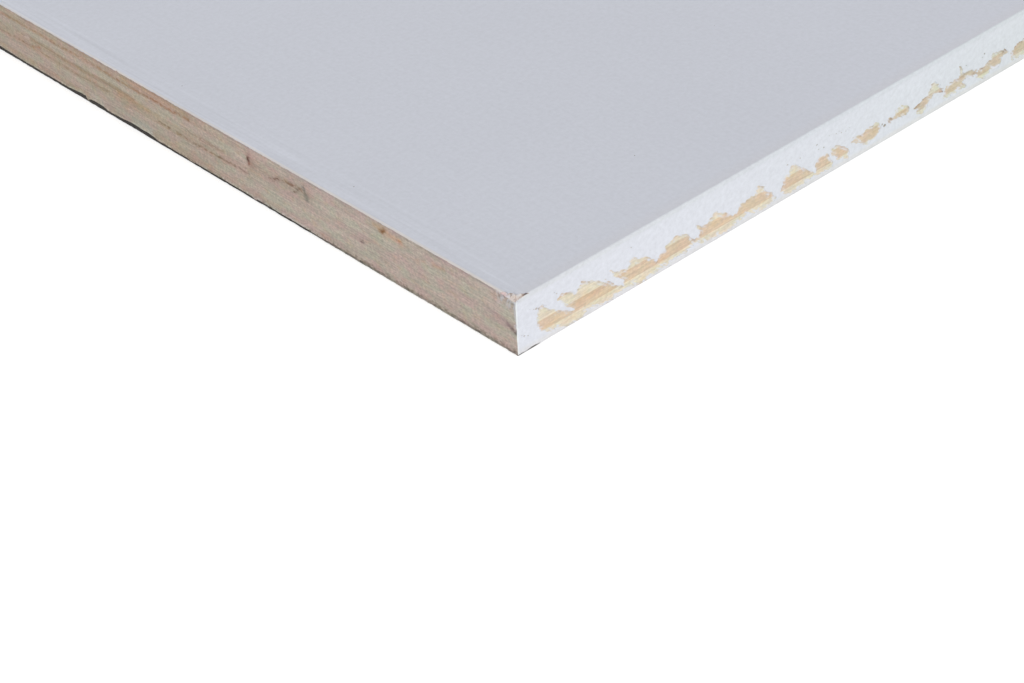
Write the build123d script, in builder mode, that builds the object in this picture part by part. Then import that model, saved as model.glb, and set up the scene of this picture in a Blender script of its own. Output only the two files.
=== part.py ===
from build123d import *
from math import hypot, sqrt
import os

# Panel size in millimetres: the face grain runs along +X and the face looks up
panel_length = 1220.0
panel_width = 610.0

# Veneer thicknesses as pressed and sanded
face_thickness = 3.0
crossband_thickness = 3.0
core_thickness = 3.0

# Rounding on the outer arrises and on the four upright corners
arris_radius = 0.4
upright_radius = 0.3

# Knocked corner of the face, measured from the corner along the long edge, along the short edge and down
knock_length = 3.4
knock_width = 1.6
knock_depth = 1.2

# Splinters that the saw tore off the lower arris of one short edge: the middle of each, measured from
# the knocked corner, its length along the arris, and its height up the edge
tear_outs = [(80.0, 21.0, 0.6), (139.0, 16.0, 1.1), (154.0, 9.0, 0.8), (174.0, 27.0, 1.0)]

# Lay-up from the underside to the face: every second veneer has its grain turned across the panel
lay_up = {
    "back_veneer": face_thickness,
    "lower_crossband": crossband_thickness,
    "core_veneer": core_thickness,
    "upper_crossband": crossband_thickness,
    "face_veneer": face_thickness,
}
panel_thickness = sum(lay_up.values())

# The knock is a facet through three points, one on each edge that meets at the corner
knocked_corner = Vector(-panel_length / 2, -panel_width / 2, panel_thickness)
on_long_edge = knocked_corner + Vector(knock_length, 0, 0)
on_short_edge = knocked_corner + Vector(0, knock_width, 0)
on_upright = knocked_corner - Vector(0, 0, knock_depth)
knock_facet = Plane(
    origin=on_long_edge,
    x_dir=on_short_edge - on_long_edge,
    z_dir=(on_short_edge - on_long_edge).cross(on_upright - on_long_edge),
)


def scoop_out_splinter(middle, length, height):
    """Cuts a shallow scoop from the arris: a ball that meets it over the length and climbs to the height."""
    half = length / 2
    stand_off = (half**2 - height**2) / (sqrt(2) * height)
    outward = stand_off / sqrt(2)
    with Locations((-panel_length / 2 - outward, -panel_width / 2 + middle, -outward)):
        Sphere(hypot(stand_off, half), mode=Mode.SUBTRACT)


os.makedirs("parts", exist_ok=True)

# Each veneer lies on the one before it, glued face to face
underside = 0.0
for name, thickness in lay_up.items():
    with BuildPart() as veneer:
        with BuildSketch(Plane.XY.offset(underside)):
            RectangleRounded(panel_length, panel_width, upright_radius)
        extrude(amount=thickness)
        if name == "back_veneer":
            fillet(veneer.faces().sort_by(Axis.Z)[0].edges(), arris_radius)
            for tear_out in tear_outs:
                scoop_out_splinter(*tear_out)
        if name == "face_veneer":
            fillet(veneer.faces().sort_by(Axis.Z)[-1].edges(), arris_radius)
            split(bisect_by=knock_facet, keep=Keep.BOTTOM)
    veneer.part.label = name
    export_step(veneer.part, f"parts/{name}.step")
    underside += thickness
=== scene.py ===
import bpy
import math
import numpy as np
from mathutils import Matrix, Vector
from mathutils.geometry import delaunay_2d_cdt


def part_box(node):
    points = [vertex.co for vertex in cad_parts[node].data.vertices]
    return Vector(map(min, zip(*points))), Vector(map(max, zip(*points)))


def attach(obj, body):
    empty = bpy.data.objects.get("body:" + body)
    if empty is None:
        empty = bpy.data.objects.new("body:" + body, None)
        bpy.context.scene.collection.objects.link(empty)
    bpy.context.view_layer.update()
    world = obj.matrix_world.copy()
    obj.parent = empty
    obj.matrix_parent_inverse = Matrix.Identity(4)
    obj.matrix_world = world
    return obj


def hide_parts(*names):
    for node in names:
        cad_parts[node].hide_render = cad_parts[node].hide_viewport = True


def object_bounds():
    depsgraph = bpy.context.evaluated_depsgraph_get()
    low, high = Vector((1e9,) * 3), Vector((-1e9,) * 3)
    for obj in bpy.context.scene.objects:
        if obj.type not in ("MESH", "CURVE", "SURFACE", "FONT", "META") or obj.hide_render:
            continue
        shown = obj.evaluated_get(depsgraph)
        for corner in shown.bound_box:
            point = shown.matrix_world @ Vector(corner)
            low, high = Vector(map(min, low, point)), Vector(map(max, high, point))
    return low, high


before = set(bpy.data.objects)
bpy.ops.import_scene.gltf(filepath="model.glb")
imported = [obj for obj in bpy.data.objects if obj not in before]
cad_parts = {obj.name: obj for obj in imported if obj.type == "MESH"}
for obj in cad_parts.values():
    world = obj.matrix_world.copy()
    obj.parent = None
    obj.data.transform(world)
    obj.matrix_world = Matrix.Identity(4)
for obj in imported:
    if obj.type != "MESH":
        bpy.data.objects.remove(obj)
cad_low, cad_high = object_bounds()

# The panel in millimetres, from the frame: the near corner is at -X, -Y, the underside at Z = 0
MM = 0.001
half_length = cad_high.x / MM
half_width = cad_high.y / MM
thickness = cad_high.z / MM
arris_radius = 0.4
upright_radius = 0.3

# The four sides, counter-clockwise from the near corner
near_long, far_sawn, far_long, near_sawn = range(4)

# How finely the edges are divided, close to the near corner and elsewhere
fine_step = 0.22
long_edge_step = 1.8
sawn_edge_step = 1.0
fine_long_edge = 195.0
fine_sawn_edge = 222.0
veneer_rows = 13

# The coat of white paint on both faces and both long edges, and how far its broken rims slope back
film = 0.1
rim_slope = 0.08

# Where the paint changes tone: on the face, in from the sawn ends (a painted highlight on their arrises) and
# from the long edges, and on the near long edge, in from its sawn end (painted light on the rounded upright
# corner) and by height, towards its lower and its upper arris
face_highlight = (0.6, 1.0)
face_duller = (1.2, 4.0)
edge_painted_light = (0.15, 0.6)
edge_below = (0.9, 2.2)
edge_above = (13.6, 14.2)

# The knocked corner of the face: along the long edge, along the sawn edge and down
knock_length = 4.2
knock_width = 4.5
knock_depth = 0.65

# Linear colours
# PAINT_FACE and PAINT_EDGE are one primer in a shaded and a lit copy: the face's darker, bluer copy is
# painted shade.
PAINT_FACE = (0.686, 0.708, 0.783)
PAINT_EDGE = (0.79, 0.813, 0.88)
LONG_GRAIN_BARE = (0.8, 0.724, 0.572)
LONG_GRAIN_SAWN = (0.655, 0.544, 0.482)
CROSS_GRAIN_BARE = (0.725, 0.575, 0.422)
CROSS_GRAIN_SAWN = (0.658, 0.58, 0.5)


# Numbers that vary over a surface


def noise(x, y, seed):
    """Smooth noise from -1 to 1, about one bump to a unit square, the same on each run."""
    size = 256
    lattice = np.random.default_rng(seed).uniform(-1, 1, (size, size))
    x, y = np.broadcast_arrays(x, y)
    column, row = np.floor(x).astype(int), np.floor(y).astype(int)
    right, up = step_up(x - column, 0, 1), step_up(y - row, 0, 1)

    def value(i, j):
        return lattice[(column + i) % size, (row + j) % size]

    lower = value(0, 0) * (1 - right) + value(1, 0) * right
    upper = value(0, 1) * (1 - right) + value(1, 1) * right
    return lower * (1 - up) + upper * up


def distance_to_line(s, h, points):
    """How far each place is from a broken line through the points."""
    nearest = np.full(np.shape(s), np.inf)
    for a, b in zip(np.array(points[:-1], float), np.array(points[1:], float)):
        run = b - a
        t = np.clip(((s - a[0]) * run[0] + (h - a[1]) * run[1]) / (run @ run), 0, 1)
        nearest = np.minimum(nearest, np.hypot(s - a[0] - t * run[0], h - a[1] - t * run[1]))
    return nearest


def outside(s, h, outline):
    """The distance to a closed outline, less than zero inside it."""
    inside = np.zeros(np.shape(s), bool)
    for (x0, y0), (x1, y1) in zip(outline, outline[1:] + outline[:1]):
        if y0 != y1:
            inside ^= ((y0 > h) != (y1 > h)) & (s < x0 + (h - y0) * (x1 - x0) / (y1 - y0))
    return distance_to_line(s, h, outline + outline[:1]) * np.where(inside, -1, 1)


def fallen_away(distance, radius):
    """How far a rounded arris has dropped at a distance in from its edge."""
    short = np.clip(radius - distance, 0, radius)
    return radius - np.sqrt(radius**2 - short**2)


def step_up(x, low, high):
    """0 below the low value, 1 above the high one, and a smooth rise between."""
    t = np.clip((x - low) / (high - low), 0, 1)
    return t * t * (3 - 2 * t)


def step_down(x, low, high):
    return 1 - step_up(x, low, high)


def bump_at(x, middle, reach):
    return np.exp(-(((x - middle) / reach) ** 2))


def changed(colour, changes):
    """The colour after each change in turn, given as its weight at each place and its red, green and blue."""
    for weight, change in changes:
        colour = colour * (1 + weight[..., None] * np.array(change))
    return colour


def spaced(start, end, step):
    """Evenly spaced places from the start up to but without the end."""
    return np.linspace(start, end, max(1, round((end - start) / step)), endpoint=False)


def graded(start, *stretches):
    """Places from the start up to the last end. Each stretch is where it ends and its step."""
    places = []
    for end, step in stretches:
        places.append(spaced(start, end, step))
        start = end
    return np.concatenate([*places, [start]])


# Where the paint is worn off the near long edge: s runs from the near corner and h up from the underside

worn_outlines = [
    [(6.1, 8), (6.4, 9.2), (7.4, 9.7), (8.7, 9), (9.5, 8.1), (10.5, 7.4), (14.5, 5.3), (16.5, 4),
     (17.5, 3.7), (13.3, 7.7), (12.8, 8.7), (13.2, 9.9), (13.9, 10.2), (14.4, 9.5), (16, 9.4), (17.2, 9),
     (18, 8.3), (18.6, 8.4), (19, 9.3), (20, 9.9), (21.2, 9.7), (28.2, 6), (28.9, 5.2), (32.3, 2.6),
     (33.1, 2.2), (33.3, 2.9), (33, 3.8), (28.8, 7.8), (28.3, 8.8), (28.9, 8.7), (29.6, 8), (31.5, 7.1),
     (34, 6.7), (35, 7), (35.3, 8.5), (35.7, 8.9), (37.8, 7.4), (41, 6.2), (43.7, 3.7), (44.8, 5.3),
     (46, 5.8), (46.8, 6.5), (50.3, 7.8), (51.5, 7.6), (52.3, 6.9), (54, 5.9), (55.4, 4.2), (56.3, 3.8),
     (57.4, 4.3), (58, 5), (56.9, 6.6), (56.5, 7.6), (59.2, 6.3), (60.5, 6.3), (62.5, 7.6), (63.3, 8.2),
     (65.8, 6.3), (67.5, 5.3), (69.3, 4.2), (70.3, 4.4), (71.4, 5.9), (74.5, 6.4), (76.4, 6.4), (77, 7),
     (77.3, 8.3), (78, 8.5), (81.3, 4.6), (82.2, 4.3), (84.3, 2.3), (83.5, 1.5), (80.5, 0.9), (78.5, 1),
     (76.5, 1.5), (75.5, 2), (74, 2.3), (71.5, 1.6), (70.5, 1.8), (69.5, 1.2), (68, 0.8), (66, 0.7),
     (60, 1.3), (58.5, 1.6), (57, 2.2), (55, 2.4), (53, 1.5), (50, 1.7), (43.5, 1.2), (42, 0.9), (40.5, 0.3),
     (38.3, 0.3), (36, 1.2), (34, 1.6), (30.3, 1.2), (29.4, 0.5), (28.4, 0.8), (27.8, 0.3), (26, 0.6),
     (23, 1.7), (20.6, 1.5), (20, 0.6), (19, 0.3), (15, 0.5), (12.5, 1.4), (9.3, 1.9), (7.6, 2.9),
     (6.9, 3.8), (6.4, 5)],
    [(85.6, 3), (86.3, 4.8), (86.4, 6.4), (87.2, 6.7), (88, 6.6), (89.3, 8.3), (90.3, 8.7), (92.7, 6.4),
     (96.4, 4), (97.2, 3.3), (97.5, 2.5), (96.4, 1.8), (93, 1.4), (91.5, 1), (88.5, 1.2), (87.2, 1.4)],
    [(98, 1.9), (102.5, 1.3), (103.9, 1.4), (104.2, 2.6), (103.3, 4.6), (102.2, 6.4), (99.5, 6.4), (98.6, 6),
     (97.9, 5.2)],
    [(102.8, 6.9), (104.5, 7), (105.8, 6.7), (109.4, 4.6), (109.9, 3.8), (110.2, 2), (109.6, 1.4),
     (108.2, 1.6), (105.8, 2.8), (104.3, 4.6), (103.4, 5.6)],
    [(110.4, 5.2), (111.5, 6.2), (113.5, 6.3), (115, 6), (116.5, 6.5), (120, 6.8), (121, 6.2), (121.4, 5),
     (121.3, 4), (120.4, 3.2), (119, 2.9), (117.6, 2), (115.3, 3), (111.3, 4.9)],
    [(124.2, 5.6), (125.2, 6), (126.2, 5.6), (127, 5.8), (127.2, 7.4), (128.5, 7.8), (130, 7.4),
     (131.2, 6.8), (132.2, 5.9), (132.4, 4.7), (131.2, 4.2), (128.5, 4.7), (125.6, 4.3), (124.6, 4.7)],
    [(134.4, 4.6), (139.2, 6.2), (140.6, 8.4), (141.8, 8.9), (142.8, 8.1), (144.6, 6), (145.4, 5.2),
     (145.6, 4.4), (144.6, 4.6), (143.4, 5.2), (142.2, 5.4), (139.9, 4.2), (139.4, 2.9), (138, 1.8),
     (136.4, 1.6), (135.7, 2.4), (135.3, 3.4)],
    [(145.5, 3.6), (146.2, 5), (147.5, 5.8), (150.5, 6), (151.5, 5.8), (151.9, 7.4), (151.7, 9.4),
     (152.3, 8.8), (152.9, 7.2), (153.5, 6.4), (156, 6.6), (157.3, 6), (158.3, 5.2), (158.6, 4.4),
     (157.4, 4), (154.9, 4.6), (153.6, 4.6), (153, 4), (154.3, 3.4), (155.2, 2.3), (153.4, 1.8),
     (151.5, 2.2), (150, 2), (146.2, 2.2), (145.6, 2.8)],
    [(158.8, 4.2), (160.2, 4.8), (161.8, 5), (164.2, 6), (164.6, 7.4), (166, 7.2), (167.6, 6.6), (169.5, 7),
     (171.3, 5.4), (171.2, 4.9), (169.4, 5), (168.6, 4.6), (168.4, 3.2), (167.6, 2.3), (166.2, 2.4),
     (164.2, 3.4), (163.6, 2.2), (162.2, 1.6), (160.8, 1.8), (159.4, 2.4), (158.6, 3.2)],
    [(172.4, 4.6), (175, 6), (176.6, 6.4), (178.5, 6.4), (187, 5), (188, 3.6), (186, 2.2), (178, 1.4),
     (175, 1.6), (173, 2.4), (172.3, 3.4)],
]
pinpricks = [
    (4.2, 10.6, 0.12), (5.3, 10, 0.15), (6.1, 9.8, 0.28), (6.8, 9.5, 0.22), (7.9, 10, 0.17), (1.4, 5, 0.14),
    (2.2, 4.5, 0.18), (3.3, 4, 0.15), (11.6, 11.3, 0.15), (12.3, 10.7, 0.18), (35.6, 11.5, 0.17),
    (87.8, 9.5, 0.2), (92.3, 9.3, 0.16), (98.2, 10.3, 0.18), (98.9, 8.8, 0.15), (100.7, 8.5, 0.2),
    (102.5, 10.9, 0.13), (105.1, 10.3, 0.15), (106.1, 10.6, 0.13), (107, 9.8, 0.18), (108.6, 9.5, 0.15),
    (109.8, 10, 0.12), (122.3, 5.3, 0.25), (123.2, 4.6, 0.4), (154.2, 8.3, 0.2), (160.6, 8, 0.17),
    (161.4, 8.7, 0.22),
]

# How far the outlines go. Beyond them, the wear is placed by noise
outlined_to = 188.0


def bare_by_outline(s, h):
    """Less than zero inside the worn outlines of the near long edge."""
    elsewhere, reach = 9.0, 3
    found = np.full(np.shape(s), elsewhere)
    for outline in worn_outlines:
        first, last = min(outline)[0] - reach, max(outline)[0] + reach
        near = (s > first) & (s < last)
        found[near] = np.minimum(found[near], outside(s[near], h[near], outline))
    return found


def pricked(s, h):
    """The distance to the nearest pinprick in the paint, less than zero inside it."""
    return np.min([np.hypot((s - at) / 1.3, h - height) - size for at, height, size in pinpricks], axis=0)


def bare_at_random(s, h, seed, cover):
    """The same kind of wear, placed by noise. A higher cover bares more."""
    slant = s + 1.3 * h
    ragged = 1.7 * noise(s / 8, h / 7, seed) + 1.3 * noise(slant / 3.2, h / 2.4, seed + 1)
    return 0.9 * (((h - 3.5) / 2.2) ** 2 - ragged - cover)


def by_splinters(s, h):
    """Places across and along the splinters, which slope down away from the corner."""
    run, fall = 0.83, 0.55
    return fall * s + run * h, run * s - fall * h


def ragged_rim(s, h, seed):
    """Splintered paint: small tongues along the splinters, and loose flecks."""
    across, along = by_splinters(s, h)
    tongues = 0.3 * noise(across / 0.55, along / 2.4, seed)
    return tongues + 0.36 * noise(across / 0.3, along / 1.1, seed + 7)


def near_edge_paint(s, h):
    """More than zero where the near long edge is painted."""
    beyond = step_up(s, outlined_to, outlined_to + 3)
    bare = bare_by_outline(s, h) * (1 - beyond) + bare_at_random(s, h, 31, 0.15) * beyond
    return np.minimum(bare + ragged_rim(s, h, 11), pricked(s, h))


def far_edge_paint(s, h):
    """More than zero where the far long edge is painted."""
    return bare_at_random(s, h, 61, -0.1) + ragged_rim(s, h, 12)


# Marks on the wood: a line of points, its width and the colour it lets by. A point is s and h on the sawn
# and the long edge, and on the knocked corner its distances from the corner, as seen from above

sawn_marks = [
    ([(-0.8, 6.2), (0.3, 6.3), (1.3, 6.6)], 0.52, (0.06, 0.04, 0.04)),
    ([(1.4, 6.8), (2.7, 7.4)], 0.62, (0.6, 0.57, 0.59)),
    ([(2.9, 7.5), (6, 8), (10, 8.6)], 0.8, (0.86, 0.84, 0.87)),
    ([(43.7, 13.4), (44.4, 13)], 0.62, (0.46, 0.29, 0.16)),
    ([(44.6, 12.5), (45.2, 12.9)], 0.5, (0.78, 0.58, 0.38)),
    ([(38, 12.9), (41, 12.9), (44, 13.5), (47, 13.7)], 0.9, (1.04, 0.9, 0.75)),
    ([(37.8, 12.8), (38.6, 13)], 0.45, (1.02, 0.78, 0.6)),
    ([(45.5, 10.9), (48.5, 9.6)], 1.2, (0.93, 1.02, 0.95)),
    ([(51.8, 6.7), (52.1, 6.5)], 0.5, (0.22, 0.16, 0.16)),
    ([(72.5, 12.5), (72, 11), (71.6, 9.3)], 0.62, (0.55, 0.6, 0.6)),
    ([(73.2, 11.6), (74.8, 11.5)], 0.34, (0.58, 0.46, 0.4)),
    ([(74.9, 11.3), (75.5, 10.9)], 0.5, (0.52, 0.47, 0.45)),
    ([(73.2, 11), (75, 11.2), (78.3, 11.2),
      (79.8, 10.8), (82.5, 10.6), (83.6, 10.1)], 0.42, (0.72, 0.66, 0.62)),
    ([(76.4, 11.3), (79.4, 11)], 0.48, (0.66, 0.54, 0.46)),
    ([(75.2, 10.5), (76.6, 9.7)], 0.36, (0.46, 0.36, 0.31)),
    ([(80.9, 11), (82.8, 10.6)], 0.5, (0.6, 0.52, 0.5)),
    ([(82.2, 10.6), (83.2, 10.2), (84.1, 9.5)], 0.36, (0.48, 0.36, 0.32)),
    ([(84.3, 9.6), (86, 9.3)], 0.32, (0.6, 0.48, 0.46)),
    ([(71, 10.9), (78, 10.7), (92, 10.4)], 2.1, (0.88, 0.8, 0.785)),
    ([(93.5, 11.7), (93.5, 11.2)], 0.6, (0.28, 0.14, 0.13)),
    ([(93.6, 11), (93.2, 9.9)], 0.42, (0.58, 0.38, 0.34)),
    ([(92.6, 10), (93.4, 12.6)], 1.5, (0.92, 0.82, 0.81)),
    ([(94, 7.2), (96, 7), (98, 7.3)], 0.4, (0.7, 0.62, 0.58)),
    ([(99, 7.1), (103, 7), (110, 6.9), (116, 6.9)], 0.42, (0.62, 0.54, 0.47)),
    ([(105.2, 7), (106.2, 6.9)], 0.5, (0.66, 0.58, 0.5)),
    ([(117.5, 6.8), (122.5, 6.7)], 0.42, (0.56, 0.46, 0.38)),
    ([(125.5, 6.9), (130, 7)], 0.4, (0.6, 0.5, 0.42)),
    ([(101, 9.3), (109, 9.4), (119, 9.4)], 0.34, (0.76, 0.68, 0.61)),
    ([(104, 8.8), (113, 8.9)], 0.3, (0.82, 0.76, 0.7)),
    ([(116.5, 13), (120, 12.8), (127, 12.6), (135, 12.7)], 0.5, (0.7, 0.5, 0.37)),
    ([(136, 12.5), (152, 12.7)], 0.5, (0.76, 0.6, 0.48)),
    ([(117, 14.2), (132, 14.3), (144, 14)], 0.7, (1, 0.9, 0.82)),
    ([(153, 12.9), (164, 12.9), (172, 12.6), (181, 12.8)], 0.5, (0.82, 0.67, 0.55)),
    ([(156, 7.7), (158.5, 7.8)], 0.42, (0.94, 0.66, 0.5)),
    ([(134, 8.6), (146, 8.4)], 1, (0.95, 0.88, 0.76)),
    ([(140, 9.3), (152, 9.5), (163, 9.2), (185, 9.5)], 0.6, (0.8, 0.7, 0.6)),
    ([(151, 7.1), (172, 7), (189, 7.2)], 0.38, (0.8, 0.72, 0.64)),
    ([(181, 8.6), (184.5, 7.6)], 0.4, (0.92, 0.62, 0.5)),
    ([(182, 12.7), (205, 12.5), (226, 12.7)], 0.5, (0.82, 0.68, 0.57)),
    ([(189, 7.2), (208, 7), (226, 7.2)], 0.38, (0.78, 0.69, 0.61)),
    ([(188, 9.5), (206, 9.3), (226, 9.5)], 0.34, (0.82, 0.75, 0.68)),
    ([(64.2, 1.9), (67.5, 2)], 0.5, (0.92, 0.82, 0.7)),
    ([(23.5, 12.2), (27, 11.8)], 0.6, (1, 0.88, 0.78)),
    ([(30, 11.3), (33, 10.4)], 0.5, (0.9, 0.82, 0.76)),
    ([(134, 2.4), (139.5, 2.6)], 1.1, (1.07, 1.2, 1.34)),
    ([(141, 2.6), (154, 2.2)], 0.9, (1, 1.07, 1.14)),
    ([(155, 2.5), (160, 2.5)], 0.9, (1.08, 1.15, 1.24)),
]
knock_marks = [
    ([(1.9, 0.65), (2.7, 0.6)], 0.34, (0.84, 0.76, 0.68)),
    ([(2.7, 0.6), (3.4, 0.45)], 0.34, (0.5, 0.42, 0.43)),
    ([(3.4, 0.35), (4.3, 0.15)], 0.42, (0.08, 0.05, 0.05)),
    ([(1.15, 2.65), (1.45, 2.85)], 0.34, (0.42, 0.38, 0.38)),
    ([(2.2, 2.2), (2.4, 2.1)], 0.3, (0.74, 0.68, 0.64)),
]
long_edge_marks = [
    # The first mark is painted shadow: a dark line along the foot of the edge by the corner.
    ([(0, 0.1), (8, 0.1)], 0.6, (0.1, 0.1, 0.11)),
    ([(18.5, 4.9), (26.5, 5)], 0.9, (0.98, 0.93, 0.89)),
    ([(13, 1.9), (18, 1.8)], 0.9, (1.06, 1, 1.01)),
    ([(122.9, 4.7), (125.6, 5.3)], 0.62, (0.74, 0.68, 0.66)),
    ([(135.2, 4.7), (136, 5.1)], 0.62, (0.78, 0.68, 0.6)),
    ([(144.3, 4.9), (145.2, 5)], 0.62, (0.8, 0.7, 0.68)),
    ([(152.8, 5.8), (153.6, 6)], 0.62, (0.84, 0.8, 0.76)),
    ([(157.2, 4.5), (158.2, 4.6)], 0.62, (0.84, 0.76, 0.72)),
    ([(169.3, 5.9), (170.8, 6.2)], 0.62, (0.74, 0.67, 0.64)),
]

# The torn lower arris of the near sawn edge: its height at places along the edge, and how dark the shadow
# painted into it is there
torn_height = [
    (0, 0.95), (60, 0.95), (70, 0.7), (71.5, 0.78), (91.6, 0.84), (92.2, 0.5), (93, 0.5), (93.6, 0.8),
    (116.2, 0.8), (117, 0.55), (118.6, 0.6), (119.6, 0.82), (131.8, 0.86), (133.5, 1.25), (136, 1.5),
    (138, 1.35), (140.5, 1.55), (143, 1.5), (146, 1.2), (150, 1), (152.5, 0.92), (154.5, 1.45),
    (157.5, 1.55), (160, 1.35), (161, 0.85), (161.6, 0.45), (162.3, 1.6), (165, 1.5), (168, 1.2), (171, 1),
    (190, 0.95), (200, 1.2), (206, 1.2), (225, 0.85), (238, 0.5),
]
torn_shadow_tint = [
    (0, 0.62), (56, 0.56), (69, 0.3), (72, 0.05), (91.5, 0.05), (92.4, 0.3), (93.8, 0.05), (116, 0.06),
    (117.6, 0.22), (119.6, 0.06), (132, 0.04), (160.6, 0.04), (161.5, 0.34), (162.4, 0.05), (225, 0.05),
    (240, 0.7),
]
torn_depth = 0.1
# The colour of the shadow painted into the torn arris
TORN_SHADOW_COLOUR = (0.94, 1.0, 0.98)


def tinted(s, h, marks, seed):
    """The colour that the marks let by. They wander a little, and narrow ones break up into fibres."""
    s = s + 0.3 * noise(s / 1.3, h / 0.9, seed)
    h = h + 0.14 * noise(s / 0.8, h / 1.2, seed + 1) + 0.12 * noise(s / 5, h / 3, seed + 2)
    fibres = np.clip(0.7 + 0.85 * noise(s / 0.7, h / 0.28, seed + 3), 0.1, 1)
    narrow = 0.6
    colour = np.ones(np.shape(s) + (3,))
    for points, width, tint in marks:
        weight = np.exp(-((distance_to_line(s, h, points) / width) ** 2))
        weight = weight * fibres if width < narrow else weight
        colour *= 1 - weight[..., None] * (1 - np.array(tint))
    return colour


def marks_at_random(length, count, seed):
    """Small knots, each in a warm streak, and dark lines along a sawn edge."""
    random = np.random.default_rng(seed)
    marks = []
    for _ in range(count):
        s, h = random.uniform(10, length - 10), random.uniform(1.5, thickness - 1.5)
        marks.append(([(s, h), (s + random.uniform(0.5, 1.5), h)], 0.5, (0.48, 0.3, 0.2)))
        marks.append(([(s - 5, h), (s + 6, h + 0.3)], 1.1, (0.98, 0.86, 0.74)))
        line, start = random.uniform(1.5, thickness - 1.5), random.uniform(0, length - 50)
        marks.append(([(start, line), (start + random.uniform(15, 45), line)], 0.4, (0.78, 0.7, 0.62)))
    return marks


def left_on_corner(s, h):
    """Paint that clings to the sawn edge by the near corner: flecks below the face, and a sliver."""
    strokes = noise(s / 0.34, h / 0.7, 82) + 0.5 * noise(s / 1.2, h / 1.2, 83)
    flecks = step_up(strokes, -0.2, 0.8) * step_down(s, 4, 7.5) * step_up(h, 10, 14.5)
    reach = 0.42 + 0.35 * noise(h / 0.8, 2.5, 84)
    sliver = step_down(s, reach, reach + 0.25) * step_up(h, 5.5, 8.5)
    return np.clip(0.75 * flecks + 0.5 * sliver, 0, 0.9)


def left_on_wood(s, h, paint):
    """Paint that clings to worn wood: a thin haze by the rims, and slivers along the splinters."""
    value = paint(s, h)
    across, along = by_splinters(s, h)
    slivers = step_up(noise(across / 0.36, along / 1.3, 85), 0.22, 0.5) * step_up(value, -1.5, -0.3)
    haze = step_up(value, -0.8, 0.1) * (0.35 + 0.35 * noise(s / 0.9, h / 0.6, 47))
    return np.clip(0.8 * slivers + haze, 0, 0.9)


def grime_and_shade(s, h, paint):
    """Dirt and shadow on bare wood, just below a rim of the paint and just beyond one."""
    below = step_up(paint(s, h + 0.5), -0.3, 0.3)
    beyond = 0.6 * step_up(paint(s - 0.45, h), -0.3, 0.3)
    bare = step_down(paint(s, h), 0.1, 0.5)
    return np.maximum(below, beyond) * bare * np.clip(0.45 + 0.9 * noise(s / 1.1, h / 0.5, 48), 0, 1)


# The edges as upright columns of points, side after side


def is_sawn(side):
    return (side == near_sawn) | (side == far_sawn)


def sides():
    """Where each side starts, its direction and its length."""
    corners = np.array([(-1, -1), (1, -1), (1, 1), (-1, 1)]) * (half_length, half_width)
    for start, end in zip(corners, np.roll(corners, -1, 0)):
        length = np.linalg.norm(end - start)
        yield start, (end - start) / length, length


def side_stations(side, length):
    """Places along a side, from half-way round its first corner to half-way round its last."""
    corner = [upright_radius * (1 - math.sqrt(0.5)), 0.5 * upright_radius]
    fine_to = {near_long: fine_long_edge, near_sawn: fine_sawn_edge}.get(side, 1.5)
    coarse_step = sawn_edge_step if is_sawn(side) else long_edge_step
    flat = graded(upright_radius, (fine_to, fine_step), (length - upright_radius, coarse_step))
    places = np.concatenate([corner, flat, [length - 0.5 * upright_radius]])
    return length - places[::-1] if side == near_sawn else places


def edge_columns():
    """Each column's side, distance from the side's near end, run round the panel, place and normal."""
    side, along, point, normal = [], [], [], []
    for number, (start, direction, length) in enumerate(sides()):
        places = side_stations(number, length)
        inset = fallen_away(np.minimum(places, length - places), upright_radius)
        outward = np.array((direction[1], -direction[0]))
        side.append(np.full(len(places), number))
        along.append(length - places if number in (far_long, near_sawn) else places)
        point.append(start + places[:, None] * direction - inset[:, None] * outward)
        normal.append(np.tile(outward, (len(places), 1)))
    side, along, point, normal = (np.concatenate(x) for x in (side, along, point, normal))
    gaps = np.linalg.norm(np.roll(point, -1, 0) - point, axis=1)
    run = np.concatenate([[0], np.cumsum(gaps)])
    return side, along, run, point, normal


# Meshes


def put_in_scene(name, data):
    made = bpy.data.objects.new(name, data)
    bpy.context.scene.collection.objects.link(made)
    return made


def as_object(name, points, faces, material):
    """A mesh object from points in millimetres."""
    mesh = bpy.data.meshes.new(name)
    mesh.from_pydata((np.asarray(points) * MM).tolist(), [], faces)
    mesh.materials.append(material)
    mesh.shade_smooth()
    mesh.set_sharp_from_angle(angle=math.radians(38))
    made = put_in_scene(name, mesh)
    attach(made, "root")
    return made


def give_colours(made, colours):
    """A tint of the material for each point, and how much paint is left there."""
    layer = made.data.color_attributes.new("marks", "FLOAT_COLOR", "POINT")
    layer.data.foreach_set("color", np.float32(colours).ravel())


# The picture of a piece: a long narrow band is cut into strips that lie in rows, with gaps round them
strip_length = 100.0
strip_margin = 0.03
strip_gap = 0.12


def on_strips(run, height, strip, strips):
    """Where a place on a band lies on its picture."""
    u = strip_margin + (1 - 2 * strip_margin) * (run / strip_length - strip)
    v = (strip + strip_gap + (1 - 2 * strip_gap) * height) / strips
    return np.stack(np.broadcast_arrays(u, v), -1)


def on_cell(points, corner, size):
    """Where places lie on a small cell of the picture, seen from above."""
    flat = np.asarray(points)[:, :2]
    span = np.ptp(flat, axis=0).clip(1e-9)
    return np.array(corner) + (flat - flat.min(0)) / span * size


def give_map(made, uv):
    made.data.uv_layers.new(name="OFBake").uv.foreach_set("vector", np.float32(uv).ravel())


# The wood


def knock_drop(along, sawn):
    """How far down the corner is broken: close by on the long edge, and evenly on the sawn edge."""
    left = np.clip(1 - along / np.where(sawn, knock_width, knock_length), 0, 1)
    return knock_depth * left ** np.where(sawn, 0.8, 5)


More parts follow.
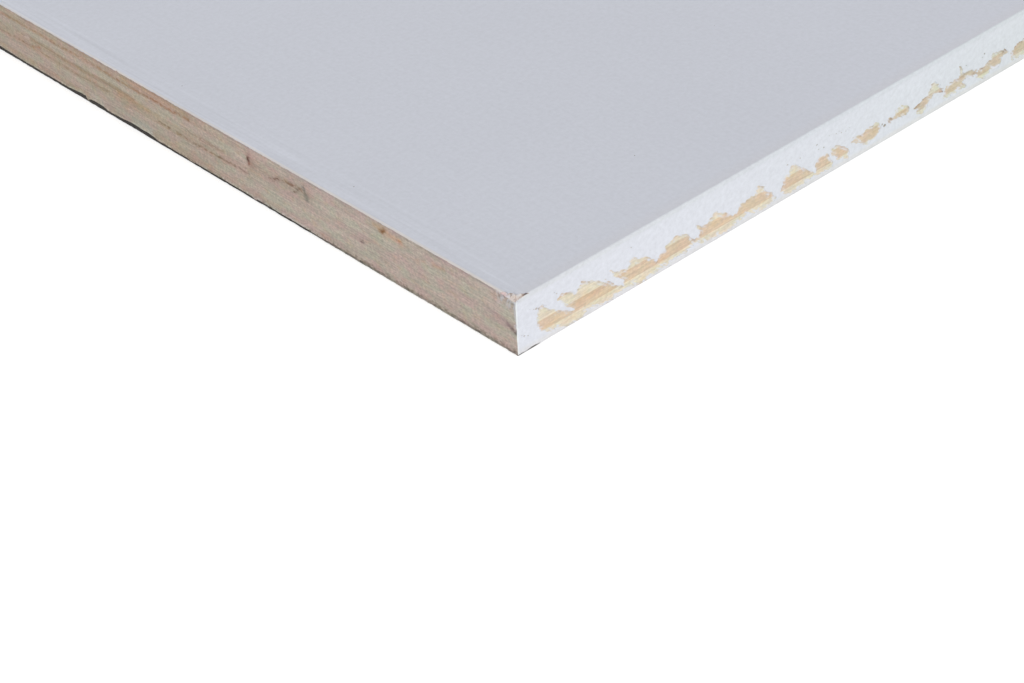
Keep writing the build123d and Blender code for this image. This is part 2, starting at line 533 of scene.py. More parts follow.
def knock_top(side, along):
    """How high the edge stands at each column, less where the corner is knocked off."""
    reach = np.where(side == near_long, knock_length, knock_width)
    drop = knock_drop(along, side == near_sawn) + 0.14 * noise(along / 0.45, side * 5.0, 5)
    knocked = ((side == near_long) | (side == near_sawn)) & (along < reach)
    return thickness - film - np.where(knocked, np.maximum(drop, 0.02), 0)


def knocked_facet(points, top_row):
    """The broken facet: steps from the tops of the knocked columns up to a line on the face."""
    count, steps = len(top_row), 12
    height = points[top_row, 2]
    low = [c for c in range(-count // 2, count // 2) if height[c] < thickness - film - 1e-6]
    around = [c % count for c in (low[0] - 1, *low, low[-1] + 1)]
    grid = [top_row[around].tolist()]
    first, last = points[grid[0][0]], points[grid[0][-1]]
    more = []
    for j in range(1, steps + 1):
        line = [grid[0][0]]
        lift = j / steps
        for i, at in enumerate(points[grid[0][1:-1]], 1):
            goal = first + (last - first) * i / (len(around) - 1)
            hollow = 0.22 * math.sin(math.pi * lift) * (0.7 + 0.9 * noise(i / 2, j / 2.2, 8))
            line.append(len(points) + len(more))
            more.append(at + (goal - at) * lift - np.array((0, 0, hollow)) * (j < steps))
        grid.append([*line, grid[0][-1]])
    faces = []
    for j in range(steps):
        for i in range(len(around) - 1):
            face = [grid[j][i], grid[j][i + 1], grid[j + 1][i + 1], grid[j + 1][i]]
            faces.append(list(dict.fromkeys(face)))
    inner = dict(zip(around, grid[-1]))
    cap = [inner.get(c, at) for c, at in enumerate(top_row.tolist())]
    return np.array(more), [f for f in faces if len(f) > 2], cap


def knock_colours(points):
    """Pinkish torn wood on the broken facet, with flecks of paint, a painted highlight by a flake of paint, a
    crack and a dark spot.
    """
    x, y = points[:, 0] + half_length, points[:, 1] + half_width
    pale = np.where((x < 1.1)[:, None], (1.3, 1.32, 1.42), (1.1, 1.05, 1.22))
    flake_highlight = bump_at(x, 2.7, 0.9) * bump_at(y, 1.2, 0.6)
    fibres = noise(x / 0.5, y / 0.3, 86)
    marks = tinted(x, y, knock_marks, 89)
    tint = changed(pale, [(flake_highlight, (0.07, 0.17, 0.16)), (fibres, (0.14, 0.14, 0.14))]) * marks
    left = 0.6 * step_up(noise(x / 0.5, y / 0.4, 87), -0.1, 0.6) * step_up(marks.min(1), 0.5, 0.9)
    return np.concatenate([tint, left[:, None]], 1)


def torn(along):
    """The height of the torn lower arris and the tint of the shadow painted into it: speckled near the
    corner, black further off.
    """
    near = step_down(along, 60, 71)
    height = np.interp(along, *zip(*torn_height)) + (0.07 + 0.16 * near) * noise(along / 0.9, 0.5, 21)
    speckle = 0.3 * noise(along / 0.6, 7.5, 22) * near
    tint = np.interp(along, *zip(*torn_shadow_tint)) + speckle
    return np.maximum(height, film + 0.08), np.clip(tint, 0.068, 1)


def relief(side, along, height, bottom, top, grain_along):
    """How far the wood lies in from its edge's plane: saw marks, loose fibres and glue lines."""
    sawn = is_sawn(side)
    fibre = np.where(sawn, 0.018, 0.008) * (1 + noise(along / 0.55, height / 0.35, 41))
    streak = np.where(sawn, 0.014, 0.006) * (1 + noise(along / (9 if grain_along else 3), height / 0.5, 42))
    saw_path = along * 2.1 + 0.5 * height + 2 * noise(along / 30, 0.5, 43)
    teeth = np.where(sawn, 0.01, 0) * (1 + np.sin(saw_path))
    glue = np.where(sawn, 0.035, 0.012) * bump_at(np.minimum(height - bottom, top - height), 0, 0.12)
    return fibre + streak + teeth + glue


def sawn_changes(name, side, along, height):
    """The changes of colour on the sawn edges, most of them on the near one."""
    near_end, sawn = side == near_sawn, is_sawn(side)
    by_corner, further = step_down(along, 5, 8), step_up(along, 60, 75)
    browner = (-0.085, -0.115, -0.14) if name.endswith("crossband") else (-0.1, -0.128, -0.213)
    yield step_up(along, 75, 125) * near_end, browner
    under_paint = bump_at(height, thickness - 0.32, 0.24) * sawn * (0.75 + 0.35 * noise(along / 1.8, 0.5, 46))
    yield under_paint * (1 - by_corner * near_end), (-0.24, -0.25, -0.185)
    chips = step_up(noise(along / 0.5, height / 0.5, 49), -0.1, 0.5)
    yield chips * step_down(height, 0.8, 2.3 - 0.7 * further) * sawn, (-0.42, -0.45, -0.5)
    pale_fringe = step_down(height - torn(along)[0], 0.25, 0.75) * further * near_end
    yield pale_fringe * (0.8 + 0.6 * noise(along / 0.7, height / 0.4, 47)), (0.16, 0.3, 0.36)
    crumbs = 1.3 * noise(along / 0.85, height / 0.6, 45) * by_corner * near_end * step_up(height, 13, 14.2)
    yield np.clip(crumbs, 0, 1), (0.28, 0.5, 0.6)
    yield np.clip(-crumbs, 0, 1), (-0.45, -0.45, -0.45)


def long_edge_changes(s, h, paint):
    """The changes of colour on the bare wood of a long edge."""
    yield grime_and_shade(s, h, paint) * (1 + 0.45 * step_up(s, 100, 130)), (-0.27, -0.33, -0.36)
    yield step_down(h, 0.4, 1.1), (-0.2, -0.22, -0.2)
    yield step_up(s, 60, 175), (-0.14, -0.05, -0.03)
    if paint is near_edge_paint:
        yield step_down(pricked(s, h), 0, 0.2), (-0.36, -0.28, -0.2)


def wood_colours(name, side, along, height, tear_rows):
    """The tint and the paint left at each place on the edges of a veneer."""
    colour = np.ones(height.shape + (4,))
    tint, left = colour[..., :3], colour[..., 3]
    far_sawn_marks = marks_at_random(2 * half_width, 9, 71)
    for number, marks in ((near_long, long_edge_marks), (near_sawn, sawn_marks), (far_sawn, far_sawn_marks)):
        on = side[0] == number
        tint[:, on] = tinted(along[:, on], height[:, on], marks, 90)
    tint[:] = changed(tint, sawn_changes(name, side, along, height))
    # The rows of the torn arris are tinted with painted shadow
    tint[tear_rows] = torn(along)[1][tear_rows][:, None] * np.array(TORN_SHADOW_COLOUR)
    left[:] = np.where(side == near_sawn, left_on_corner(along, height), 0)
    for number, paint in ((near_long, near_edge_paint), (far_long, far_edge_paint)):
        on = side[0] == number
        s, h = along[:, on], height[:, on]
        left[:, on] = left_on_wood(s, h, paint)
        tint[:, on] = changed(tint[:, on], long_edge_changes(s, h, paint))
    left *= step_up(tint.min(-1), 0.3, 0.8)
    return colour


def edge_map(run, rows, points, facet, caps):
    """Where a veneer's faces lie on its picture: the edges as strips, the rest above them."""
    strips = math.ceil(run[-1] / strip_length)
    level = np.linspace(0, 1, rows)
    strip = np.floor((run[:-1] + run[1:]) / 2 / strip_length)
    corners = [(run[:-1], 0), (run[1:], 0), (run[1:], 1), (run[:-1], 1)]
    uv = np.stack([on_strips(a, level[k:rows - 1 + k, None], strip, strips + 2) for a, k in corners], 2)
    above = 2 / (strips + 2)
    facet_size, cap_size = (0.06, 0.8 * above), (0.35, 0.9 * above)
    flat = [on_cell(points[f], (0.9, 1 - above), facet_size) for f in facet]
    flat += [on_cell(points[f], (0.05 + 0.4 * k, 1 - above), cap_size) for k, f in enumerate(caps)]
    return np.concatenate([uv.reshape(-1, 2), *flat])


def edge_rows(name, side, along, bottom, top):
    """The height of each row at each column, and which of them lie in the torn arris."""
    count = len(side)
    high = knock_top(side, along) if name == "face_veneer" else np.full(count, top)
    share = np.linspace(0, 1, veneer_rows)[:, None]
    if name != "back_veneer":
        height = bottom + (high - bottom) * share
        return height, np.zeros_like(height, bool)
    tear = np.where(side == near_sawn, torn(along)[0], film + 0.3)
    lower = np.array((0, 0.35, 0.7, 0.93))[:, None]
    height = np.concatenate([film + (tear - film) * lower, tear + (high - tear) * share])
    in_tear = (np.arange(len(height)) < len(lower))[:, None] & (side == near_sawn)
    return height, in_tear


def veneer(name, bottom, top, material, slot):
    """One veneer as a closed mesh in place of its CAD node, with relief and marks on its edges."""
    side, along, run, point, normal = edge_columns()
    height, tear_rows = edge_rows(name, side, along, bottom, top)
    side_all, along_all = (np.broadcast_to(x, height.shape) for x in (side, along))
    inward = relief(side_all, along_all, height, bottom, top, name.endswith("crossband"))
    inward = inward + tear_rows * torn_depth * (1 + noise(along_all / 1.3, height * 2, 44))
    rounded = fallen_away(np.minimum(height, thickness - height), arris_radius)
    xy = point - inward[..., None] * normal
    reach = np.stack([half_length - rounded, np.minimum(half_width - rounded, half_width - film)], -1)
    points = np.concatenate([np.clip(xy, -reach, reach), height[..., None]], -1).reshape(-1, 3)
    colours = wood_colours(name, side_all, along_all, height, tear_rows).reshape(-1, 4)

    number = np.arange(height.size).reshape(height.shape)
    ahead = np.roll(number, -1, 1)
    quads = np.stack([number[:-1], ahead[:-1], ahead[1:], number[1:]], -1)
    faces = quads.reshape(-1, 4).tolist()
    facet, top_cap = [], number[-1].tolist()
    if name == "face_veneer":
        more, facet, top_cap = knocked_facet(points, number[-1])
        points = np.concatenate([points, more])
        colours = np.concatenate([colours, knock_colours(more)])
    caps = [number[0, ::-1].tolist(), top_cap]
    made = as_object(name + "_wood", points, faces + facet + caps, material)
    give_map(made, edge_map(run, len(height), points, facet, caps))
    give_colours(made, colours)
    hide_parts(name)


# Paint films


def zero_line(a, u, paint):
    """Points and links of the line round the painted part of a grid, by marching squares."""
    beyond, nearest = 0.002, 0.04
    a, u = (np.concatenate([[x[0] - beyond], x, [x[-1] + beyond]]) for x in (a, u))
    paint = np.pad(paint, 1, constant_values=-1)
    points, numbers, count = [], [], 0
    for along, up in ((1, 0), (0, 1)):
        crossed = (paint[:len(a) - along, :len(u) - up] > 0) != (paint[along:, up:] > 0)
        numbers.append(np.where(crossed, np.cumsum(crossed).reshape(crossed.shape) - 1 + count, -1))
        i, j = np.nonzero(crossed)
        t = np.clip(paint[i, j] / (paint[i, j] - paint[i + along, j + up]), nearest, 1 - nearest)
        points.append(np.stack([a[i] + t * (a[i + along] - a[i]), u[j] + t * (u[j + up] - u[j])], 1))
        count += len(i)
    points = np.concatenate(points).clip((a[1], u[1]), (a[-2], u[-2]))
    across, upward = numbers
    cell = np.stack([across[:, :-1], upward[1:], across[:, 1:], upward[:-1]], -1)
    crossed = (cell >= 0).sum(-1)
    two, four = cell[crossed == 2], cell[crossed == 4]
    links = np.concatenate([two[two >= 0].reshape(-1, 2), four[:, :2], four[:, 2:]])
    return points, links[links[:, 0] != links[:, 1]]


def value_at(a, u, paint, spots):
    """The grid's value at each spot."""
    i = np.clip(np.searchsorted(a, spots[:, 0]) - 1, 0, len(a) - 2)
    j = np.clip(np.searchsorted(u, spots[:, 1]) - 1, 0, len(u) - 2)
    x = (spots[:, 0] - a[i]) / (a[i + 1] - a[i])
    y = (spots[:, 1] - u[j]) / (u[j + 1] - u[j])
    lower = paint[i, j] * (1 - x) + paint[i + 1, j] * x
    upper = paint[i, j + 1] * (1 - x) + paint[i + 1, j + 1] * x
    return lower * (1 - y) + upper * y


def joined_up(triangles, walls):
    """A number for each triangle, the same for all that join up without crossing a wall."""
    group = list(range(len(triangles)))

    def root(t):
        while group[t] != t:
            group[t] = group[group[t]]
            t = group[t]
        return t

    beside = {}
    for t, corners in enumerate(triangles.tolist()):
        for k in range(3):
            edge = tuple(sorted((corners[k], corners[k - 2])))
            if edge in walls:
                continue
            if edge in beside:
                group[root(t)] = root(beside[edge])
            beside[edge] = t
    return np.array([root(t) for t in range(len(triangles))])


def painted_triangles(a, u, paint, folds, cuts):
    """Triangles over the painted part of a grid, broken at folds along it and at cuts across it."""
    points, links = zero_line(a, u, paint)
    rims = len(links)
    lines = [((a[0], f), (a[-1], f)) for f in folds] + [((c, u[0]), (c, u[-1])) for c in cuts]
    ends = [list(end) for line in lines for end in line]
    extra_links = [(len(points) + 2 * k, len(points) + 2 * k + 1) for k in range(len(lines))]
    given = [Vector(p) for p in points.tolist() + ends]
    found = delaunay_2d_cdt(given, links.tolist() + extra_links, [], 0, 1e-5, True)
    spots = np.array([tuple(v) for v in found[0]])
    triangles = np.array(found[2])
    walls = {tuple(sorted(edge)) for edge, names in zip(found[1], found[4]) if any(n < rims for n in names)}
    groups = joined_up(triangles, walls)
    p, q, r = (spots[triangles[:, k]] for k in range(3))
    area = np.abs((q - p)[:, 0] * (r - p)[:, 1] - (q - p)[:, 1] * (r - p)[:, 0])
    votes = np.bincount(groups, area * np.sign(value_at(a, u, paint, (p + q + r) / 3)), len(triangles))
    return spots, triangles[(votes[groups] > 0) & (area > 1e-9)]


def rim_edges(triangles):
    """The edges that only one triangle has, in its direction, each with its third corner."""
    once = {}
    for p, q, r in triangles.tolist():
        for i, j, k in ((p, q, r), (q, r, p), (r, p, q)):
            if once.pop((j, i), None) is None:
                once[i, j] = k
    return once


def sloped_back(a, u, spots, rims):
    """The spots, with those on broken rims moved in, so that the rims slope."""
    inward, close = np.zeros_like(spots), 0.01
    for (i, j), k in rims.items():
        along = spots[j] - spots[i]
        across = np.array((-along[1], along[0]))
        inward[[i, j]] += across * np.sign(across @ (spots[k] - spots[i]))
    length = np.linalg.norm(inward, axis=1, keepdims=True)
    border = (spots <= (a[0] + close, u[0] + close)) | (spots >= (a[-1] - close, u[-1] - close))
    broken = (length > 0) & ~border.any(1, keepdims=True)
    return spots + np.where(broken, inward / length.clip(1e-12) * rim_slope, 0)


def film_map(a, u, spots, triangles, walls):
    """Where a film's faces lie on its picture: its outside as strips, what is hidden above them."""
    strips = math.ceil((a[-1] - a[0]) / strip_length)
    corners = spots[triangles]
    strip = np.floor(corners[..., 0].mean(1) / strip_length)[:, None]
    seen = on_strips(corners[..., 0], (corners[..., 1] - u[0]) / (u[-1] - u[0]), strip, strips + 1)
    hidden = np.concatenate([spots[triangles[:, ::-1].ravel()], spots[walls.ravel() % len(spots)]])
    place, size = (0.05, (strips + 0.2) / (strips + 1)), (0.9, 0.5 / strips)
    return np.concatenate([seen.reshape(-1, 2), on_cell(hidden, place, size)])


def paint_film(name, a, u, paint, surface, material, folds, cuts, tone=None):
    """A closed film where paint is more than zero, and the spots, triangles and walls of its mesh."""
    values = paint(*np.meshgrid(a, u, indexing="ij"))
    spots, triangles = painted_triangles(a, u, values, folds, cuts)
    used, triangles = np.unique(triangles, return_inverse=True)
    spots, triangles = spots[used], triangles.reshape(-1, 3)
    rims = rim_edges(triangles)
    outer = surface(*sloped_back(a, u, spots, rims).T)
    inner = on_the_wood(surface(*spots.T))
    n = len(spots)
    walls = np.array([(i + n, j + n, j, i) for i, j in rims])
    faces = triangles.tolist() + (triangles[:, ::-1] + n).tolist() + walls.tolist()
    made = as_object(name, np.concatenate([outer, inner]), faces, material)
    tint = np.ones((n, 3)) if tone is None else tone(*spots.T)
    give_colours(made, np.tile(np.concatenate([tint, np.zeros((n, 1))], 1), (2, 1)))
    return made, spots, triangles, walls


def long_edge_surface(s, v):
    """The painted near long edge: v is the height, run on round the arrises at top and bottom."""
    low_turn = np.clip((arris_radius - v) / arris_radius, 0, math.pi / 2)
    high_turn = np.clip((v - thickness + arris_radius) / arris_radius, 0, math.pi / 2)
    rounded = arris_radius * (1 - np.cos(low_turn + high_turn))
    rounded = np.maximum(rounded, fallen_away(np.minimum(s, 2 * half_length - s), upright_radius))
    z = np.clip(v, arris_radius, thickness - arris_radius)
    z = z - arris_radius * np.sin(low_turn) + arris_radius * np.sin(high_turn)
    return np.stack([s - half_length, rounded - half_width, z], -1)


def far_edge_surface(s, v):
    """The near long edge turned half round the panel's middle, so s starts at the far end."""
    return long_edge_surface(s, v) * (-1, -1, 1)


def face_surface(x, y):
    return np.stack([x, y, thickness - fallen_away(half_length - np.abs(x), arris_radius)], -1)


def back_surface(x, y):
    return face_surface(x, y) * (1, -1, -1) + (0, 0, thickness)


def on_the_wood(points):
    """Where the underside of the paint lies below points on its surface."""
    x, y, z = points.T
    y = np.clip(y, film - half_width, half_width - film)
    return np.stack([x, y, np.clip(z, film, thickness - film)], -1)


def sawn_limit(distance, s, seed, least):
    """More than zero in from where the saw broke the paint, at a distance from a sawn end."""
    chips = 0.1 * (1 + noise(s / 0.7, 0.5, seed)) + 0.5 * step_up(noise(s / 1.9, 3.5, seed + 1), 0.62, 0.95)
    return distance - least - chips


def face_paint(x, y):
    """More than zero where the face is painted: up to the sawn ends, less the knocked corner."""
    along, across = half_length + x, half_width + y
    ends = np.minimum(sawn_limit(along, across, 51, 0.06), sawn_limit(half_length - x, across, 53, 0.06))
    to_line = knock_length * knock_width / math.hypot(knock_length, knock_width)
    corner = (along / knock_length + across / knock_width - 1) * to_line
    corner += 0.42 * noise(along / 0.6, across / 0.5, 55) + 0.1
    crumbled = along - 0.35 - 0.65 * noise(across / 0.9, along / 1.1, 68) + 1.2 * step_up(across, 6.5, 9.5)
    return np.minimum(np.minimum(ends, corner), crumbled)


def back_paint(x, y):
    """More than zero where the back is painted: up to the sawn ends, less the torn arris."""
    s = half_width - y
    near = sawn_limit(half_length + x, s, 56, torn_depth + 0.35)
    return np.minimum(near, sawn_limit(half_length - x, s, 57, 0.1))


def face_tone(x, y):
    """The face's paint is lighter and warmer along the sawn ends, a painted highlight on their arrises, and
    duller by the long edges.
    """
    across = y + half_width
    strength = np.clip(1.25 - 0.72 * step_up(across, 12, 150) + 0.8 * noise(y / 2.3, 0.5, 88), 0, 1.6)
    arris_highlight = step_down(half_length - np.abs(x), *face_highlight) * strength
    arris_highlight *= np.where(x < 0, 0.2 + 0.8 * step_up(across, 4, 5.5), 1)
    duller = step_down(half_width - np.abs(y), *face_duller)
    return changed(1, [(arris_highlight, (0.155, 0.065, -0.055)), (duller, (0, -0.015, -0.03))])


def edge_tone(s, v):
    """The near long edge's paint: painted light at its cut end, painted shade further off, and changes by its
    two arrises and at the knock.
    """
    return changed(1, [
        # Painted light on the rounded upright corner at the cut end
        (step_down(s, *edge_painted_light), (0.22, 0.24, 0.16)),
        # Painted shade: greyer further from the corner
        (step_up(s, 20, 200), (-0.085, -0.06, -0.095)),
        (step_up(v, *edge_above), (-0.055, -0.045, -0.05)),
        (step_down(v, *edge_below), (0, -0.03, -0.08)),
        (bump_at(s, 2.4, 1.5) * step_up(v, 13.4, 14.2), (0.06, 0.01, -0.09)),
    ])


def long_edge_ends(paint):
    """The same paint, stopped at the sawn ends."""
    def stopped(s, v):
        ends = np.minimum(sawn_limit(s, v, 58, 0.02), sawn_limit(2 * half_length - s, v, 59, 0.06))
        return np.minimum(paint(s, v), ends)
    return stopped


def near_edge_film(s, v):
    """The near long edge's paint, less the knocked corner and a chip in the lower arris."""
    knock = thickness - 0.15 - knock_drop(s, False) - v
    knock = np.maximum(knock, s - knock_length) + 0.22 * noise(s / 0.38, v / 0.3, 60)
    chipped_to = 0.32 * step_down(s, 5.5, 8.5) + 0.2 * bump_at(s, 4.8, 1.2)
    lower_chip = v - chipped_to + 0.1 * noise(s / 0.6, v / 0.4, 62) + 2 * step_up(s, 9, 10)
    return np.minimum(np.minimum(near_edge_paint(s, v), knock), lower_chip)


def edge_film(name, paint, surface, fine_to, material, tone=None):
    """The film on a long edge and round both its arrises, up to the underside and the face."""
    length, lap = 2 * half_length, arris_radius * (math.pi / 2 - 1)
    s = graded(0, (1, 0.06), (fine_to, 0.2), (length - 1, 0.7), (length, 0.1))
    v = np.linspace(-lap, thickness + lap, 80)
    turns = [arris_radius * math.pi / 2 * k / 4 for k in (1, 2, 3, 4)]
    folds = [t - lap for t in turns] + [*edge_below, *edge_above] + [thickness + lap - t for t in turns]
    corner = [0.08, 0.17, upright_radius, edge_painted_light[1]]
    cuts = corner + list(np.arange(strip_length, length - 1, strip_length)) + [length - c for c in corner]
    made, *parts = paint_film(name, s, v, long_edge_ends(paint), surface, material, folds, cuts, tone)
    give_map(made, film_map(s, v, *parts))


def face_film(name, paint, surface, material, tone=None):
    """The film on the face or the back, up to where the arrises of the long edges begin to turn."""
    near = graded(-half_length, (0.7 - half_length, 0.07), (4.2 - half_length, 0.2))[:-1]
    x = np.concatenate([near, [0], -near[::-1]])
    limit = half_width - arris_radius
    y = graded(-limit, (5 - limit, 0.15), (fine_sawn_edge - limit, 0.3), (limit, 1))
    if surface is back_surface:
        y = -y[::-1]
    insets = (0.22, arris_radius, 0.65, face_highlight[1])
    cuts = [end * (half_length - inset) for end in (-1, 1) for inset in insets]
    folds = [end * (half_width - inset) for end in (-1, 1) for inset in face_duller]
    paint_film(name, x, y, paint, surface, material, folds, cuts, tone)


# Specks of dirt on the face: their distances from the near corner along X and Y, and their size

dirt_specks = [(7, 128, 0.24), (6, 61, 0.22), (60, 23, 0.2), (118, 52, 0.14)]

# How far out and how high each ring of a speck's points is, from its foot to its top
speck_rings = ((1.0, -0.02), (0.8, 0.03), (0.4, 0.05))


def dirt(material):
    """Flat grains of dirt stuck on the face."""
    points, faces = [], []
    around = 9
    for number, (x, y, size) in enumerate(dirt_specks):
        first = len(points)
        for out, up in speck_rings:
            for k in range(around):
                turn = 2 * math.pi * k / around
                reach = size * out * (1 + 0.35 * noise(k * 0.8, number * 3.3, 91))
                east, north = reach * math.cos(turn), 0.7 * reach * math.sin(turn)
                points.append((x - half_length + east, y - half_width + north, thickness + up))
        for low in range(first, len(points) - around, around):
            for k in range(around):
                ahead = (k + 1) % around
                faces.append([low + k, low + ahead, low + around + ahead, low + around + k])
        faces.append(list(range(len(points) - around, len(points))))
        faces.append(list(range(first, first + around))[::-1])
    made = as_object("dirt_specks", points, faces, material)


# Materials


def feed(node, inputs):
    """Links or sets a node's inputs, by name or number."""
    for name, value in inputs.items():
        if isinstance(value, bpy.types.NodeSocket):
            node.id_data.links.new(value, node.inputs[name])
        else:
            node.inputs[name].default_value = value


def add(tree, kind, inputs=None, **settings):
    """A node with its settings made and its inputs fed."""
    node = tree.nodes.new("ShaderNode" + kind)
    for name, value in settings.items():
        setattr(node, name, value)
    feed(node, inputs or {})
    return node


def new_material(name):
    """A material, its node tree and the shader that its nodes feed."""
    material = bpy.data.materials.new(name)
    material.use_nodes = True
    return material, material.node_tree, material.node_tree.nodes["Principled BSDF"]


def calculated(tree, operation, first, second=0.0):
    return add(tree, "Math", {0: first, 1: second}, operation=operation).outputs[0]


def cloud(tree, scale, detail=2, roughness=0.5, lean=0):
    """Noise about 0.5, with bumps about one over the scale long in millimetres, leaned over about Y."""
    place = add(tree, "TexCoord").outputs["Object"]
    if lean:
        place = add(tree, "VectorRotate", {"Vector": place, "Angle": lean}, rotation_type="Y_AXIS").outputs[0]
    place = add(tree, "VectorMath", {0: place, 1: [k / MM for k in scale]}, operation="MULTIPLY").outputs[0]
    inputs = {"Vector": place, "Scale": 1.0, "Detail": detail, "Roughness": roughness}
    return add(tree, "TexNoise", inputs).outputs["Fac"]


def between(tree, value, low, high, start=0.3, end=0.7):
    """The value from start to end turned into low to high."""
    inputs = {"Value": value, "From Min": start, "From Max": end, "To Min": low, "To Max": high}
    return add(tree, "MapRange", inputs).outputs["Result"]


def by_share(tree, share, low, high):
    """Low where the share is 0 and high where it is 1."""
    return between(tree, share, low, high, 0, 1)


def shade(tree, *swings):
    """A shade about 1 that follows each noise about 0.5 by its own amount."""
    tone = None
    for value, amount in swings:
        change = calculated(tree, "MULTIPLY", calculated(tree, "SUBTRACT", value, 0.5), amount)
        swing = calculated(tree, "ADD", change, 1)
        tone = swing if tone is None else calculated(tree, "MULTIPLY", tone, swing)
    return tone


def mixed(tree, share, first, second, blend="MIX"):
    """Two colours mixed. A colour is a socket or three numbers."""
    first, second = (c if isinstance(c, bpy.types.NodeSocket) else (*c, 1) for c in (first, second))
    return add(tree, "Mix", {0: share, 6: first, 7: second}, data_type="RGBA", blend_type=blend).outputs[2]


def multiplied(tree, first, second):
    return mixed(tree, 1.0, first, second, "MULTIPLY")


def times(tree, colour, tone):
    """A colour made lighter or darker by a shade about 1."""
    grey = add(tree, "CombineColor", {"Red": tone, "Green": tone, "Blue": tone}).outputs[0]
    return multiplied(tree, colour, grey)


def bump(tree, height, depth):
    """The normal of a surface with a bump, its depth in millimetres."""
    return add(tree, "Bump", {"Height": height, "Distance": depth * MM, "Strength": 1.0}).outputs[0]


def marks_on(tree):
    return add(tree, "Attribute", attribute_name="marks", attribute_type="GEOMETRY").outputs


def near_ends(tree, first, last):
    """0 farther than the first distance from both sawn ends, and 1 closer than the last."""
    place = add(tree, "SeparateXYZ", {0: add(tree, "TexCoord").outputs["Object"]}).outputs["X"]
    from_middle = calculated(tree, "ABSOLUTE", place)
    return between(tree, from_middle, 0.0, 1.0, (half_length - first) * MM, (half_length - last) * MM)


def white_paint(name, colour, uneven, streaks, lined, lean=0.0):
    """Matt white primer: a stipple, an uneven tone, and brushed lines that change by the sawn ends."""
    material, tree, shader = new_material(name)
    lined = by_share(tree, near_ends(tree, 9.5, 1.5), *lined)
    stipple = cloud(tree, (0.8, 0.8, 0.8), 3.0, 0.65)
    lines = cloud(tree, streaks, 2.0, 0.5, lean)
    broad = cloud(tree, (0.018, 0.018, 0.018), 2.0)
    tone = shade(tree, (stipple, uneven), (lines, lined), (broad, 0.05))
    feed(shader, {
        "Base Color": multiplied(tree, times(tree, colour, tone), marks_on(tree)["Color"]),
        "Roughness": between(tree, stipple, 0.55, 0.68),
        "Normal": bump(tree, calculated(tree, "ADD", stipple, lines), 0.04),
    })
    return material


def poplar(name, bare, sawn):
    """Rotary-cut poplar: even under the worn paint, and rough, blotched and streaked on the sawn ends."""
    material, tree, shader = new_material(name)
    rough = near_ends(tree, 1.3, 0.9)
    strokes = cloud(tree, (1.3, 1.3, 0.8), 3.0, 0.65)
    fibres = cloud(tree, (0.14, 0.14, 2.4), 3.0, 0.6)
    pores = cloud(tree, (1.1, 1.1, 3.0), 2.0, 0.6)
    blotches = cloud(tree, (0.24, 0.24, 0.42), 1.5, 0.5)
    warmth = cloud(tree, (0.3, 0.3, 0.65), 2.0, 0.5)
    colour = mixed(tree, rough, bare, sawn)
    rosy = multiplied(tree, colour, (1.035, 0.965, 0.985))
    green = multiplied(tree, colour, (0.965, 1.02, 0.975))
    blotched = mixed(tree, between(tree, blotches, 0, 1, 0.38, 0.62), rosy, green)
    colour = mixed(tree, by_share(tree, rough, 0.5, 1), colour, blotched)
    golden = multiplied(tree, colour, (1.03, 0.98, 0.89))
    colour = mixed(tree, between(tree, warmth, 0, 0.9, 0.52, 0.72), colour, golden)
    swings = ((strokes, 0.3, 0.5), (fibres, 0.5, 0.74), (pores, 0.42, 0.78))
    tone = shade(tree, *((grain, by_share(tree, rough, low, high)) for grain, low, high in swings))
    marks = marks_on(tree)
    colour = multiplied(tree, times(tree, colour, tone), marks["Color"])
    feed(shader, {
        "Base Color": mixed(tree, marks["Alpha"], colour, PAINT_EDGE),
        "Roughness": between(tree, pores, 0.86, 0.72),
        "Normal": bump(tree, calculated(tree, "ADD", fibres, strokes), 0.06),
    })
    return material


def grit():
    """Grey-brown dirt, browner and greyer in places."""
    material, tree, shader = new_material("grit")
    colour = mixed(tree, cloud(tree, (4, 4, 4)), (0.3, 0.27, 0.27), (0.44, 0.43, 0.45))
    feed(shader, {"Base Color": colour, "Roughness": 0.9})
    return material


# Stage: a white floor that keeps the contact shadow, soft light all round, one soft key, and the camera


def seen_directly(tree):
    """1 for the rays that show a background: from the camera, from gloss and through glass."""
    rays = add(tree, "LightPath").outputs
    either = calculated(tree, "MAXIMUM", rays["Is Camera Ray"], rays["Is Glossy Ray"])
    return calculated(tree, "MAXIMUM", either, rays["Is Transmission Ray"])


def floor():
    reach = 8.0
    mesh = bpy.data.meshes.new("floor")
    corners = [(-reach, -reach, 0), (reach, -reach, 0), (reach, reach, 0), (-reach, reach, 0)]
    mesh.from_pydata(corners, [], [(0, 1, 2, 3)])
    material, tree, shader = new_material("floor")
    glow = by_share(tree, seen_directly(tree), 0, 0.6)
    feed(shader, {"Base Color": (0.82, 0.82, 0.82, 1), "Roughness": 1, "Specular IOR Level": 0})
    feed(shader, {"Emission Color": (1, 1, 1, 1), "Emission Strength": glow})
    mesh.materials.append(material)
    made = put_in_scene("floor", mesh)


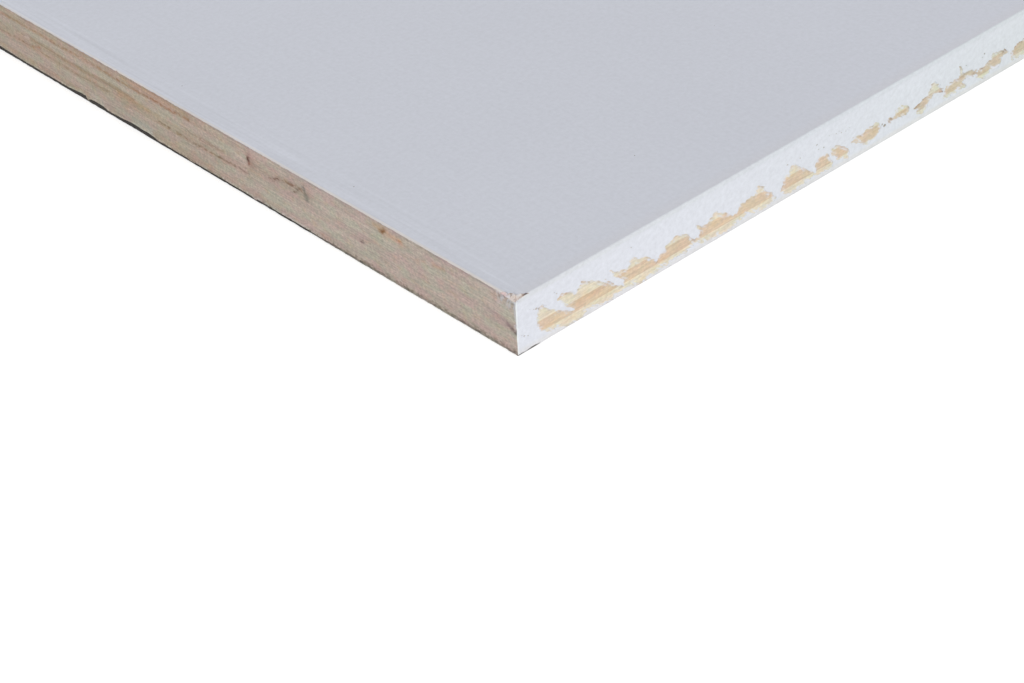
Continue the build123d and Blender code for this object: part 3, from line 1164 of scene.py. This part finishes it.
def soft_light():
    world = bpy.data.worlds.new("studio")
    bpy.context.scene.world = world
    world.use_nodes = True
    tree = world.node_tree
    strength = by_share(tree, seen_directly(tree), 0.68, 1)
    feed(tree.nodes["Background"], {"Color": (1, 1, 1, 1), "Strength": strength})
    key = bpy.data.lights.new("key", "SUN")
    key.energy = 1.1
    key.angle = math.radians(50)
    lamp = put_in_scene("key", key)
    lamp.rotation_euler = Vector((0.3, -0.92, 0.25)).to_track_quat("Z", "Y").to_euler()


def camera():
    """A long lens near the knocked corner, looking down along both edges that meet there."""
    data = bpy.data.cameras.new("camera")
    data.sensor_width = 36.0
    data.lens = 91.25
    data.clip_start, data.clip_end = 0.01, 50.0
    near_corner = Vector((-half_length, -half_width, thickness))
    place = (near_corner + Vector((-305.36, -344.62, 320.34))) * MM
    azimuth, elevation, roll = (math.radians(x) for x in (-41.403, 35.717, -2.987))
    turn = Matrix.Rotation(azimuth, 4, "Z") @ Matrix.Rotation(math.pi / 2 - elevation, 4, "X")
    made = put_in_scene("camera", data)
    made.matrix_world = Matrix.Translation(place) @ turn @ Matrix.Rotation(roll, 4, "Z")
    bpy.context.scene.camera = made


def build():
    long_grain = poplar("poplar_long_grain", LONG_GRAIN_BARE, LONG_GRAIN_SAWN)
    cross_grain = poplar("poplar_cross_grain", CROSS_GRAIN_BARE, CROSS_GRAIN_SAWN)
    for name in ("back_veneer", "lower_crossband", "core_veneer", "upper_crossband", "face_veneer"):
        low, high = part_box(name)
        across = name.endswith("crossband")
        material, slot = (cross_grain, "poplar_cross_grain") if across else (long_grain, "poplar_long_grain")
        veneer(name, low.z / MM, high.z / MM, material, slot)
    face_white = white_paint("face_white", PAINT_FACE, 0.19, (0.95, 0.03, 1.0), (0.035, 0.34))
    lean = math.radians(28)
    edge_white = white_paint("edge_white", PAINT_EDGE, 0.31, (0.16, 0.16, 1.1), (0.07, 0.07), lean)
    edge_film("near_edge_paint", near_edge_film, long_edge_surface, fine_long_edge, edge_white, edge_tone)
    edge_film("far_edge_paint", far_edge_paint, far_edge_surface, 1.5, edge_white)
    face_film("face_paint", face_paint, face_surface, face_white, face_tone)
    face_film("back_paint", back_paint, back_surface, face_white)
    dirt(grit())


bpy.context.scene.view_settings.view_transform = "Standard"
floor()
soft_light()
camera()
build()
